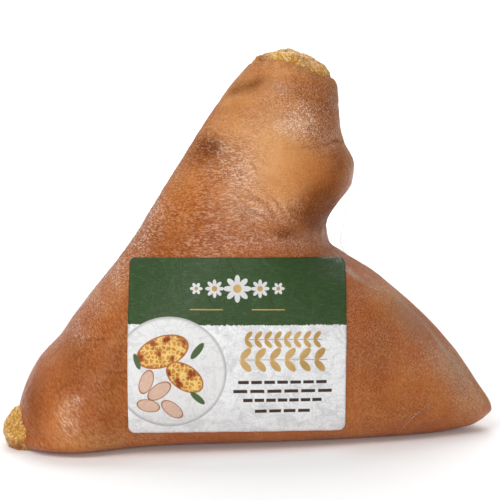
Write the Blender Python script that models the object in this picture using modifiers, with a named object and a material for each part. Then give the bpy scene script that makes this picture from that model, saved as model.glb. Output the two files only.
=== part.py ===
"""Half ham on the bone: cooked, skin on, shrunk in a clear bag, with a paper label on its front.

The ham stands on its cut face with the shank up. Metres, +Z up, the labelled front towards -Y.
The origin is the middle of the base of the bounding box. Heights are above the cut face.
"""

import math

import bmesh
import bpy
import numpy as np
from mathutils import Vector, noise
from mathutils.bvhtree import BVHTree

# Driving dimensions: the size that the outlines below are shares of
WIDTH = 0.280
HEIGHT = 0.221
DEPTH = 0.155
MM = 0.001

# Outlines of the skin, each point (height, reach) as a share of HEIGHT and of WIDTH or DEPTH.
# Left is the thick butt side, right the thin flank, the knuckle and the shank's heel.
LEFT = (
    (0.0, -0.445), (0.04, -0.466), (0.07, -0.470), (0.19, -0.434), (0.245, -0.395), (0.30, -0.366),
    (0.45, -0.272), (0.80, -0.095), (0.92, -0.026), (0.98, 0.018),
)
RIGHT = (
    (0.0, 0.415), (0.015, 0.460), (0.035, 0.487), (0.055, 0.500), (0.14, 0.464), (0.30, 0.362), (0.40, 0.272),
    (0.465, 0.195), (0.50, 0.163), (0.54, 0.157), (0.60, 0.178), (0.66, 0.207), (0.70, 0.210), (0.76, 0.190),
    (0.80, 0.184),
    (0.90, 0.178), (0.95, 0.150),
)
FRONT = (
    (0.0, -0.230), (0.03, -0.355), (0.09, -0.430), (0.15, -0.455), (0.30, -0.430), (0.45, -0.365),
    (0.70, -0.250), (0.90, -0.145), (1.0, -0.110),
)
BACK = (
    (0.0, 0.460), (0.04, 0.495), (0.20, 0.485), (0.45, 0.400), (0.70, 0.300), (0.90, 0.235), (1.0, 0.200),
)
# Where across the width the front and back stand furthest out, and where in the depth the two sides do
FRONT_CREST = ((0.0, -0.30), (0.20, -0.20), (0.45, -0.03), (0.70, 0.04), (1.0, 0.075))
BACK_CREST = ((0.0, -0.10), (0.30, -0.08), (0.70, 0.04), (1.0, 0.075))
LEFT_EDGE = ((0.0, -0.06), (0.30, 0.0), (1.0, 0.045))
RIGHT_EDGE = ((0.0, 0.04), (1.0, 0.045))
# Squareness of the section: 1 is a straight chamfer, 2 an ellipse, 3 a box with round corners
SQUARE_LEFT = ((0.0, 2.7), (0.30, 2.3), (1.0, 2.1))
SQUARE_FRONT_RIGHT = ((0.0, 1.65), (0.15, 1.60), (0.40, 2.2), (1.0, 2.1))
SQUARE_BACK_RIGHT = ((0.0, 1.7), (0.40, 2.0), (1.0, 2.1))

# Swellings and hollows of the skin: place (share of WIDTH, of HEIGHT), side, radii and height in mm
FRONT_SIDE = -1
BACK_SIDE = 1
SWELLINGS = (
    ("butt lobe", (-0.37, 0.07), FRONT_SIDE, 34, 32, 11.0),
    ("foot of the butt", (-0.37, 0.0), FRONT_SIDE, 38, 8, 13.0),
    ("valley beside the lobe", (-0.27, 0.26), FRONT_SIDE, 12, 26, -2.0),
    ("dimple under the collar", (-0.075, 0.735), FRONT_SIDE, 9, 8, -4.5),
    ("collar fold", (-0.01, 0.875), FRONT_SIDE, 16, 4, -1.6),
    ("shin", (0.075, 0.66), FRONT_SIDE, 18, 34, 3.5),
    ("knuckle", (0.165, 0.69), FRONT_SIDE, 14, 15, 5.0),
    ("hollow under the knuckle", (0.135, 0.52), FRONT_SIDE, 20, 12, -6.0),
    ("crease above the knuckle", (0.16, 0.775), FRONT_SIDE, 14, 4, -2.2),
    ("flank ridge", (0.25, 0.36), FRONT_SIDE, 20, 8, 2.0),
    ("back of the knuckle", (0.15, 0.68), BACK_SIDE, 18, 20, 5.0),
    ("back hollow", (0.12, 0.50), BACK_SIDE, 24, 16, -7.0),
    ("thigh", (-0.10, 0.25), BACK_SIDE, 46, 34, 2.0),
)

# The shank's end: how the rim of the skin rises and falls round it, and the fat that domes over it,
# which tilts down towards the left
RIM_HEIGHT = 0.945
RIM_SLOPE_FRONT = 0.020
RIM_SLOPE_LEFT = 0.021
RIM_WAVE = 0.008
RIM_STARTS = 0.82
SKIN_THICK = 2.5 * MM
DOME_RISE = 11.0 * MM
DOME_SQUARE = 2.2
DOME_TILT = 4.0
DOME_RINGS = 7
DOME_LUMP = 1.7 * MM

# The lump of fat that stands out below the skin's edge at the butt
LUMP_CENTRE = (-0.431, -0.19, 0.039)
LUMP_RADII = (0.065, 0.155, 0.066)
LUMP_CRAG = 2.6 * MM
LUMP_FOOT = 0.4 * MM
CRAG_SIZE = 9 * MM

# The spare film of the bag, flat beside the shank and along the flank
FILM_OUTLINE = (
    (0.190, 0.700), (0.209, 0.660), (0.205, 0.600), (0.194, 0.540), (0.188, 0.500), (0.200, 0.460),
    (0.250, 0.400),
)
FILM_INSIDE = ((0.200, 0.360), (0.100, 0.480), (0.120, 0.660))
FILM_DEPTH = 0.06
FILM_THICK = 1.2 * MM

# The label: its size, and its middle in a plane that leans back by the tilt and passes over the ham's axis
LABEL_WIDTH = 120.4 * MM
LABEL_HEIGHT = 96.2 * MM
LABEL_TILT = math.radians(9)
LABEL_PLANE_HEIGHT = 105.9 * MM
LABEL_MIDDLE = (-6.9 * MM, -52.3 * MM)
LABEL_CORNER = 3.5 * MM
LABEL_THICK = 0.6 * MM
LABEL_GAP = 0.5 * MM
LABEL_CELL = 5 * MM

# Faces round the ham and from its cut face to the rim, in rows that crowd towards the cut face by a power
AROUND = 60
ROWS = 42
ROW_CROWDING = 1.25


def curve_through(points, at):
    """Smooth curve through (place, value) points that never overshoots them."""
    place, value = np.array(points, float).T
    step = np.diff(place)
    slope = np.diff(value) / step
    tangent = np.zeros_like(place)
    for i in range(1, len(place) - 1):
        if slope[i - 1] * slope[i] > 0:
            near, far = 2 * step[i] + step[i - 1], step[i] + 2 * step[i - 1]
            tangent[i] = (near + far) / (near / slope[i - 1] + far / slope[i])
    tangent[0], tangent[-1] = slope[0], slope[-1]
    at = np.clip(at, place[0], place[-1])
    i = np.clip(np.searchsorted(place, at, side="right") - 1, 0, len(step) - 1)
    t = (at - place[i]) / step[i]
    return (
        value[i] * (1 + 2 * t) * (1 - t) ** 2
        + value[i + 1] * t * t * (3 - 2 * t)
        + step[i] * (tangent[i] * t * (1 - t) ** 2 + tangent[i + 1] * t * t * (t - 1))
    )


def smooth_step(value, low, high):
    """0 below low, 1 above high, and a smooth ramp between them."""
    t = np.clip((value - low) / (high - low), 0.0, 1.0)
    return t * t * (3 - 2 * t)


def section(turn, share):
    """Points of the skin at angles turn (0 right, quarter back, half left) and at shares of HEIGHT."""
    c, s = np.cos(turn), np.sin(turn)
    right, back = c >= 0, s >= 0
    square = np.where(
        right,
        np.where(back, curve_through(SQUARE_BACK_RIGHT, share), curve_through(SQUARE_FRONT_RIGHT, share)),
        curve_through(SQUARE_LEFT, share),
    )
    crest = WIDTH * np.where(back, curve_through(BACK_CREST, share), curve_through(FRONT_CREST, share))
    edge = DEPTH * np.where(right, curve_through(RIGHT_EDGE, share), curve_through(LEFT_EDGE, share))
    reach_x = WIDTH * np.where(right, curve_through(RIGHT, share), curve_through(LEFT, share)) - crest
    reach_y = DEPTH * np.where(back, curve_through(BACK, share), curve_through(FRONT, share)) - edge
    x = crest + reach_x * np.abs(c) ** (2 / square)
    y = edge + reach_y * np.abs(s) ** (2 / square)
    return x, y


def rim_share(turn):
    """Height of the skin's rim round the shank, as a share of HEIGHT."""
    slope = RIM_SLOPE_FRONT * np.sin(turn) + RIM_SLOPE_LEFT * np.cos(turn)
    return RIM_HEIGHT - slope - RIM_WAVE * np.cos(2 * turn)


def skin_grid(around, rows):
    """The skin from the cut face to the rim, as rows of points of shape (rows, around, 3)."""
    turn = np.linspace(0, 2 * math.pi, around, endpoint=False)[None, :].repeat(rows, 0)
    step = np.linspace(0, 1, rows)[:, None]
    level = RIM_HEIGHT * step**ROW_CROWDING
    share = level + (rim_share(turn) - RIM_HEIGHT) * smooth_step(level, RIM_STARTS, RIM_HEIGHT)
    x, y = section(turn, share)
    return np.stack([x, y, HEIGHT * share], axis=-1)


def swelling(point, outward):
    """How far the skin stands out at a point, from all the named swellings and hollows."""
    out = 0.0
    for _, (across, up), side, radius_x, radius_z, rise in SWELLINGS:
        facing = max(0.0, side * outward.y)
        dx = (point.x - across * WIDTH) / (radius_x * MM)
        dz = (point.z - up * HEIGHT) / (radius_z * MM)
        out += rise * MM * facing * math.exp(-dx * dx - dz * dz)
    return out


def dome_grid(rim):
    """Rings of fat that close the shank's end, from just inside the skin's rim to the crown."""
    centre = rim.mean(axis=0)
    rings = []
    for k in range(DOME_RINGS):
        t = k / DOME_RINGS
        inset = 1 - SKIN_THICK / np.linalg.norm(rim - centre, axis=1, keepdims=True)
        ring = centre + (rim - centre) * inset * math.cos(t * math.pi / 2) ** (2 / DOME_SQUARE)
        tilt = 1 + DOME_TILT * np.minimum(ring[:, 0] - centre[0], 0) / WIDTH
        ring[:, 2] += tilt * DOME_RISE * math.sin(t * math.pi / 2) ** (2 / DOME_SQUARE)
        rings.append(ring)
    return np.array(rings), centre + np.array([0, 0, DOME_RISE])


def crag(point, size, seed):
    """Lumpy relief between -1 and 1 for cut fat, of lumps of the given size."""
    place = Vector(point) / size + Vector((seed, 2.3 * seed, 0.7 * seed))
    return noise.fractal(place, 0.9, 2.1, 2)


def new_object(name, mesh, collection):
    obj = bpy.data.objects.new(name, mesh)
    collection.objects.link(obj)
    return obj


def loft(bm, rows, bottom=True, top=None):
    """Faces between rows of points, a flat cap under the first row and a fan to the top point."""
    around = rows.shape[1]
    verts = [[bm.verts.new(p) for p in row] for row in rows]
    for low, high in zip(verts, verts[1:]):
        for i in range(around):
            j = (i + 1) % around
            bm.faces.new((low[i], low[j], high[j], high[i]))
    if bottom:
        bm.faces.new(verts[0][::-1])
    if top is not None:
        crown = bm.verts.new(top)
        for i in range(around):
            bm.faces.new((verts[-1][i], verts[-1][(i + 1) % around], crown))
    return verts


def ham_mesh():
    """The skin with its swellings, closed by the cut face below and the dome of fat on the shank."""
    skin = skin_grid(AROUND, ROWS)
    dome, crown = dome_grid(skin[-1])
    bm = bmesh.new()
    verts = loft(bm, np.concatenate([skin, dome]), top=crown)
    bm.normal_update()
    normals = [[v.normal.copy() for v in row] for row in verts[1:ROWS]]
    moves = []
    for row, row_normals in zip(verts, [normals[0], *normals]):
        for v, normal in zip(row, row_normals):
            outward = normal if normal.z >= 0 else Vector((normal.x, normal.y, 0)).normalized()
            moves.append((v, outward * swelling(v.co, outward)))
    for row in verts[ROWS + 1 :]:
        moves += [(v, v.normal * DOME_LUMP * crag(v.co, CRAG_SIZE, 3.0)) for v in row]
    for v, move in moves:
        v.co += move
    mesh = bpy.data.meshes.new("ham_in_bag")
    bm.to_mesh(mesh)
    bm.free()
    return mesh


def fat_lump_mesh():
    """Craggy ball of fat, drawn out along the skin's edge at the butt and flat where it stands."""
    bm = bmesh.new()
    bmesh.ops.create_icosphere(bm, subdivisions=4, radius=1.0)
    scale = Vector((LUMP_RADII[0] * WIDTH, LUMP_RADII[1] * DEPTH, LUMP_RADII[2] * HEIGHT))
    centre = Vector((LUMP_CENTRE[0] * WIDTH, LUMP_CENTRE[1] * DEPTH, LUMP_CENTRE[2] * HEIGHT))
    for v in bm.verts:
        out = v.co.normalized()
        place = centre + Vector(a * b for a, b in zip(out, scale))
        v.co = place + out * LUMP_CRAG * crag(place, CRAG_SIZE, 1.0)
        v.co.z = max(v.co.z, LUMP_FOOT)
    mesh = bpy.data.meshes.new("fat_lump")
    bm.to_mesh(mesh)
    bm.free()
    return mesh


def film_object(collection):
    """The flat spare film as a thin plate: a closed outline, smooth outside and straight inside the ham."""
    data = bpy.data.curves.new("spare_film", "CURVE")
    data.dimensions = "2D"
    data.fill_mode = "BOTH"
    data.extrude = FILM_THICK / 2
    steps = np.linspace(0, 1, 3 * len(FILM_OUTLINE))
    outline = np.array(FILM_OUTLINE)
    run = np.concatenate([[0], np.cumsum(np.linalg.norm(np.diff(outline, axis=0), axis=1))])
    across = curve_through(np.column_stack([run / run[-1], outline[:, 0]]), steps)
    up = curve_through(np.column_stack([run / run[-1], outline[:, 1]]), steps)
    points = [(float(x) * WIDTH, float(z) * HEIGHT) for x, z in [*zip(across, up), *FILM_INSIDE]]
    spline = data.splines.new("POLY")
    spline.points.add(len(points) - 1)
    for point, (x, z) in zip(spline.points, points):
        point.co = (x, z, 0, 1)
    spline.use_cyclic_u = True
    obj = new_object("spare_film", data, collection)
    obj.rotation_euler = (math.radians(90), 0, 0)
    obj.location = (0, FILM_DEPTH * DEPTH, 0)
    return obj


def as_mesh(obj, collection):
    """The same shape as a welded mesh object at the curve's place, with the curve removed."""
    bpy.context.view_layer.update()
    evaluated = obj.evaluated_get(bpy.context.evaluated_depsgraph_get())
    mesh = bpy.data.meshes.new_from_object(evaluated)
    bm = bmesh.new()
    bm.from_mesh(mesh)
    bmesh.ops.remove_doubles(bm, verts=bm.verts, dist=1e-5)
    bm.to_mesh(mesh)
    bm.free()
    made = new_object(obj.name + "_plate", mesh, collection)
    made.matrix_world = obj.matrix_world
    bpy.data.objects.remove(obj)
    return made


def join_into(target, collection):
    """One Boolean union of the target with every object of a collection, which is then emptied."""
    modifier = target.modifiers.new("join", "BOOLEAN")
    modifier.operation = "UNION"
    modifier.operand_type = "COLLECTION"
    modifier.collection = collection
    modifier.solver = "EXACT"
    bpy.context.view_layer.update()
    evaluated = target.evaluated_get(bpy.context.evaluated_depsgraph_get())
    mesh = bpy.data.meshes.new_from_object(evaluated)
    target.modifiers.clear()
    target.data = mesh
    for obj in list(collection.objects):
        bpy.data.objects.remove(obj)


def grid_lines(length):
    """Places along one side of the label: close together at the round corners, then in even cells."""
    inner = length - 2 * LABEL_CORNER
    cells = max(1, round(inner / LABEL_CELL))
    middle = [LABEL_CORNER + inner * k / cells for k in range(cells + 1)]
    return [0.0, LABEL_CORNER / 2, *middle, length - LABEL_CORNER / 2, length]


def round_corner(x, z):
    """Moves a point of the label's square corner to the same place in a round one."""
    cx = min(max(x, LABEL_CORNER), LABEL_WIDTH - LABEL_CORNER)
    cz = min(max(z, LABEL_CORNER), LABEL_HEIGHT - LABEL_CORNER)
    dx, dz = x - cx, z - cz
    if dx and dz:
        shrink = max(abs(dx), abs(dz)) / math.hypot(dx, dz)
        return cx + dx * shrink, cz + dz * shrink
    return x, z


def label_mesh(ham):
    """The label as a sheet that follows the ham's front, a small gap and a thickness off it."""
    tree = BVHTree.FromPolygons([v.co for v in ham.vertices], [p.vertices for p in ham.polygons])
    up = Vector((0, math.sin(LABEL_TILT), math.cos(LABEL_TILT)))
    inward = Vector((0, math.cos(LABEL_TILT), -math.sin(LABEL_TILT)))
    corner = Vector((LABEL_MIDDLE[0] - LABEL_WIDTH / 2, 0, LABEL_PLANE_HEIGHT))
    corner += (LABEL_MIDDLE[1] - LABEL_HEIGHT / 2) * up - 2 * DEPTH * inward
    hits = []
    for z in grid_lines(LABEL_HEIGHT):
        places = [round_corner(x, z) for x in grid_lines(LABEL_WIDTH)]
        hits.append([tree.ray_cast(corner + Vector((px, 0, 0)) + pz * up, inward)[0] for px, pz in places])
    hits = np.array(hits)
    outward = np.cross(np.gradient(hits, axis=1), np.gradient(hits, axis=0))
    outward /= np.linalg.norm(outward, axis=-1, keepdims=True)
    rows = hits + outward * (LABEL_GAP + LABEL_THICK)
    bm = bmesh.new()
    verts = [[bm.verts.new(p) for p in row] for row in rows]
    for low_row, high_row in zip(verts, verts[1:]):
        for a, b, c, d in zip(low_row, low_row[1:], high_row[1:], high_row):
            bm.faces.new((a, b, c, d))
    mesh = bpy.data.meshes.new("label")
    bm.to_mesh(mesh)
    bm.free()
    return mesh


def material(name, colour, roughness):
    made = bpy.data.materials.new(name)
    made.use_nodes = True
    shader = made.node_tree.nodes["Principled BSDF"]
    shader.inputs["Base Color"].default_value = (*colour, 1.0)
    shader.inputs["Roughness"].default_value = roughness
    shader.inputs["Metallic"].default_value = 0.0
    return made


def centre_on_base(objects):
    """Moves the meshes so that the origin is the middle of the base of their bounding box."""
    corners = np.array([v.co for obj in objects for v in obj.data.vertices])
    low, high = corners.min(axis=0), corners.max(axis=0)
    shift = Vector((-(low[0] + high[0]) / 2, -(low[1] + high[1]) / 2, -low[2]))
    for obj in objects:
        for v in obj.data.vertices:
            v.co += shift


def main():
    for obj in list(bpy.data.objects):
        bpy.data.objects.remove(obj)
    parts = bpy.data.collections.new("ham")
    joined = bpy.data.collections.new("joined_to_ham")
    bpy.context.scene.collection.children.link(parts)
    bpy.context.scene.collection.children.link(joined)

    ham = new_object("ham_in_bag", ham_mesh(), parts)
    new_object("fat_lump", fat_lump_mesh(), joined)
    label = new_object("label", label_mesh(ham.data), parts)
    as_mesh(film_object(joined), joined)
    join_into(ham, joined)

    plate = label.modifiers.new("thickness", "SOLIDIFY")
    plate.thickness = LABEL_THICK
    plate.offset = -1.0
    centre_on_base([ham, label])

    ham.data.materials.clear()
    ham.data.materials.append(material("smoked_skin", (0.42, 0.16, 0.055), 0.45))
    label.data.materials.append(material("printed_paper", (0.60, 0.60, 0.58), 0.50))


main()
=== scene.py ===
"""Half ham on the bone in a tight clear bag with a paper label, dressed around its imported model.

The file is laid out as a Blender add-on: one operator builds each piece and one panel lists them.
Lengths are in metres. The ham stands on its cut face, shank up, labelled front towards -Y.
"""

import math

import bmesh
import bpy
import numpy as np
from bpy.props import FloatProperty, FloatVectorProperty, IntProperty, PointerProperty
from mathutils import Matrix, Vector, noise
from mathutils.bvhtree import BVHTree


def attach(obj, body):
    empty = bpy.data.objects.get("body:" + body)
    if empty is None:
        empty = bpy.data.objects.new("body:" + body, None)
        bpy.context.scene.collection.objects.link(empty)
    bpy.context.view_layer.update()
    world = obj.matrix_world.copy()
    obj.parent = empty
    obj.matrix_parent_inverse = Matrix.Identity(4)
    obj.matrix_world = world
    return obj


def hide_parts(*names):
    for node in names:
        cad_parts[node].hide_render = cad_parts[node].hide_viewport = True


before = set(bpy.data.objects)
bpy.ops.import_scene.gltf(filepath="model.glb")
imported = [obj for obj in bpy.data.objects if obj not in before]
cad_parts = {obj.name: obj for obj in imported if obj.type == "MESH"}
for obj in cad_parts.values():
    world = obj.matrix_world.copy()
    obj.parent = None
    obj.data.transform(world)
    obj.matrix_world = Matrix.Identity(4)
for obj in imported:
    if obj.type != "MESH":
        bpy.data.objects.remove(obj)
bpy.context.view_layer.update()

bl_info = {
    "name": "Half Ham in a Clear Bag",
    "version": (1, 0, 0),
    "blender": (4, 5, 0),
    "location": "View3D > Sidebar > Ham",
    "description": "Builds a half ham on the bone, its clear bag, its label and a plain studio",
    "category": "Add Mesh",
}

# Size of the ham, which the outlines below are shares of, and where the model's origin lies from the axis
WIDTH = 0.280
HEIGHT = 0.221
DEPTH = 0.155
MM = 0.001
SHIFT = np.array((-0.100, -1.074, 0.0)) * MM

# Outlines of the skin, each point (height, reach) as a share of HEIGHT and of WIDTH or DEPTH
LEFT = (
    (0.0, -0.445), (0.04, -0.466), (0.07, -0.470), (0.19, -0.434), (0.245, -0.395), (0.30, -0.366),
    (0.45, -0.272), (0.80, -0.095), (0.92, -0.026), (0.98, 0.018),
)
RIGHT = (
    (0.0, 0.415), (0.015, 0.460), (0.035, 0.487), (0.055, 0.500), (0.14, 0.464), (0.30, 0.362),
    (0.40, 0.272), (0.465, 0.195), (0.50, 0.163), (0.54, 0.157), (0.60, 0.178), (0.66, 0.207),
    (0.70, 0.210), (0.76, 0.190), (0.80, 0.184), (0.90, 0.178), (0.95, 0.150),
)
FRONT = (
    (0.0, -0.230), (0.03, -0.355), (0.09, -0.430), (0.15, -0.455), (0.30, -0.430), (0.45, -0.365),
    (0.70, -0.250), (0.90, -0.145), (1.0, -0.110),
)
BACK = (
    (0.0, 0.460), (0.04, 0.495), (0.20, 0.485), (0.45, 0.400), (0.70, 0.300), (0.90, 0.235),
    (1.0, 0.200),
)
FRONT_CREST = ((0.0, -0.30), (0.20, -0.20), (0.45, -0.03), (0.70, 0.04), (1.0, 0.075))
BACK_CREST = ((0.0, -0.10), (0.30, -0.08), (0.70, 0.04), (1.0, 0.075))
LEFT_EDGE = ((0.0, -0.06), (0.30, 0.0), (1.0, 0.045))
RIGHT_EDGE = ((0.0, 0.04), (1.0, 0.045))
# Squareness of the section: 1 is a straight chamfer, 2 an ellipse, 3 a box with round corners
SQUARE_LEFT = ((0.0, 2.7), (0.30, 2.3), (1.0, 2.1))
SQUARE_FRONT_RIGHT = ((0.0, 1.65), (0.15, 1.60), (0.40, 2.2), (1.0, 2.1))
SQUARE_BACK_RIGHT = ((0.0, 1.7), (0.40, 2.0), (1.0, 2.1))

# Swellings and hollows of the skin: name, place (share of WIDTH, of HEIGHT), side, radii and rise in mm
FRONT_SIDE = -1
BACK_SIDE = 1
SWELLINGS = (
    ("butt lobe", (-0.37, 0.07), FRONT_SIDE, 34, 32, 11.0),
    ("foot of the butt", (-0.37, 0.0), FRONT_SIDE, 38, 8, 13.0),
    ("valley beside the lobe", (-0.27, 0.26), FRONT_SIDE, 12, 26, -2.0),
    ("dimple under the collar", (-0.075, 0.735), FRONT_SIDE, 9, 8, -4.5),
    ("collar fold", (-0.01, 0.875), FRONT_SIDE, 16, 4, -1.6),
    ("shin", (0.075, 0.66), FRONT_SIDE, 18, 34, 3.5),
    ("knuckle", (0.165, 0.69), FRONT_SIDE, 14, 15, 5.0),
    ("hollow under the knuckle", (0.135, 0.52), FRONT_SIDE, 20, 12, -6.0),
    ("crease above the knuckle", (0.16, 0.775), FRONT_SIDE, 14, 4, -2.2),
    ("flank ridge", (0.25, 0.36), FRONT_SIDE, 20, 8, 2.0),
    ("back of the knuckle", (0.15, 0.68), BACK_SIDE, 18, 20, 5.0),
    ("back hollow", (0.12, 0.50), BACK_SIDE, 24, 16, -7.0),
    ("thigh", (-0.10, 0.25), BACK_SIDE, 46, 34, 2.0),
)

# Layers of lumps on the skin, of crags on the cut fat and of creases in the label: each a height in mm,
# a size in mm and a noise seed
SKIN_LUMPS = ((0.9, 34, 1.0), (0.35, 12, 2.0))
DOME_CRAGS = ((1.7, 9, 3.0), (0.9, 3.0, 6.0), (0.45, 1.3, 7.0))
BUTT_CRAGS = ((2.4, 9, 1.0), (1.3, 3.2, 8.0), (0.8, 1.5, 9.0))
LABEL_CREASES = ((0.22, 7, 11.0), (0.10, 3, 12.0))

# The shank's end: how the rim of the skin rises and falls round it, and the fat that domes over it
RIM_HEIGHT = 0.945
RIM_SLOPE_FRONT = 0.020
RIM_SLOPE_LEFT = 0.021
RIM_WAVE = 0.008
RIM_STARTS = 0.82
RIM_FRAY = 0.9 * MM
DOME_RISE = 11.0 * MM
DOME_SQUARE = 2.2
DOME_TILT = 4.0
DOME_RINGS = 34
# The lip that the rim turns in over the fat: how far in and how far up each of its rows lies, in mm
LIP_PROFILE = ((0.3, 0.3), (0.8, 0.45), (1.5, 0.4), (2.1, 0.1), (2.5, -0.6))

# The cut face: its least height over the floor, its rings of faces and the middle of the sawn bone
FLOOR_GAP = 0.3 * MM
CUT_RINGS = 40
BONE_CENTRE = (-0.035, 0.012, 0.0003)

# The skin's grain: how far it is drawn out, how steeply it slants over the butt, and its pores
GRAIN_STREAK = (3.4, 3.4, 1.0)
GRAIN_SLANT = math.radians(52)
PORES_PER_METRE = 330.0

# The lump of fat that stands out below the skin's edge at the butt
LUMP_CENTRE = (-0.431, -0.19, 0.039)
LUMP_RADII = (0.065, 0.155, 0.066)

# The spare film, flat beside the hollow under the knuckle: its edge, each point (across, up) as a share of
# WIDTH and of HEIGHT, its place as a share of DEPTH, how far it reaches in, and its waves
FILM_OUTLINE = (
    (0.190, 0.700), (0.209, 0.660), (0.205, 0.600), (0.194, 0.540), (0.188, 0.500), (0.200, 0.460),
    (0.250, 0.400),
)
FILM_DEPTH = 0.06
WEB_STEPS = 60
WEB_ROWS = 14
WEB_REACH = 26 * MM
WEB_WAVE = 0.5 * MM
WEB_WAVE_LENGTH = 9 * MM

# The film on the ham: the size of its grain, its least height over the floor, and the height from which
# it sticks to the ham's top
FILM_GRAIN = 0.9 * MM
FILM_FLOOR_GAP = 0.05 * MM
FAT_STARTS = 0.206

# The label, in a plane that leans back by the tilt and passes over the ham's axis
LABEL_WIDTH = 120.4 * MM
LABEL_HEIGHT = 96.2 * MM
LABEL_TILT = math.radians(9)
LABEL_PLANE_HEIGHT = 105.9 * MM
LABEL_MIDDLE = (-6.9 * MM, -52.3 * MM)
LABEL_CORNER = 3.5 * MM
LABEL_COLUMNS = 122
LABEL_ROWS = 98
LABEL_LIFT = 0.75 * MM

# What the label shows, in mm from its middle: the lower edge of its band, and on it flowers, each with its
# place across, radius and petals, over thin rules, each with its middle and half sizes
BAND_EDGE = 11.0
FLOWER_HEIGHT = 31.0
FLOWERS = ((-22.5, 3.6, 6), (-12.5, 5.4, 8), (0.0, 8.0, 8), (12.5, 5.4, 8), (22.5, 3.6, 6))
THIN_RULES = ((-17.0, 19.5, 9.0, 0.28), (17.0, 19.5, 9.0, 0.28))
# The dish and the pieces of comb on it: middle, radii and turn. Almonds and leaves: middle, length and turn
DISH = (-37.0, -14.5, 31.0, 30.0)
COMBS = ((-41.0, -3.5, 15.0, 8.5, 0.35), (-29.0, -17.5, 11.5, 7.0, -0.6))
ALMONDS = (
    (-50.0, -20.0, 7.0, 1.2), (-43.0, -25.0, 7.5, 0.6), (-49.0, -33.0, 6.5, -0.2), (-36.0, -35.0, 7.0, 2.5),
)
ALMOND_SLIMNESS = 0.52
LEAVES = ((-22.0, -3.0, 5.5, 0.9), (-55.0, -9.0, 4.5, 1.9), (-22.0, -29.0, 5.0, -0.7))
LEAF_SLIMNESS = 0.34
# The sprigs: middle, pairs of leaves, pitch and leaf size. Rows of dashes: middle, half width and pitch
SPRIGS = ((25.0, 3.2, 8, 5.4, 3.7), (25.0, -8.0, 6, 8.2, 5.4))
DASHES = (
    (25.0, -20.5, 24.7, 7.2), (25.0, -25.5, 27.4, 9.4), (25.0, -30.5, 22.0, 6.4), (25.0, -36.5, 15.5, 8.0),
)
DASH_HALF_HEIGHT = 0.9
# A whole number that keeps what a sprig's leaves are counted from above zero
COUNT_LEAD = 40

# The eye that the front view is seen from: it looks at the axis at AIM_HEIGHT, from above the floor
EYE_DISTANCE = 1.6
EYE_ELEVATION = math.radians(9)
AIM_HEIGHT = 105.9 * MM
FRAME_WIDTH = 0.2857
SENSOR_WIDTH = 36.0

# The studio: half the floor's side, and its own faint light, which keeps it white as on a light table
FLOOR_HALF = 8.0
FLOOR_GLOW = 0.1

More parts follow.
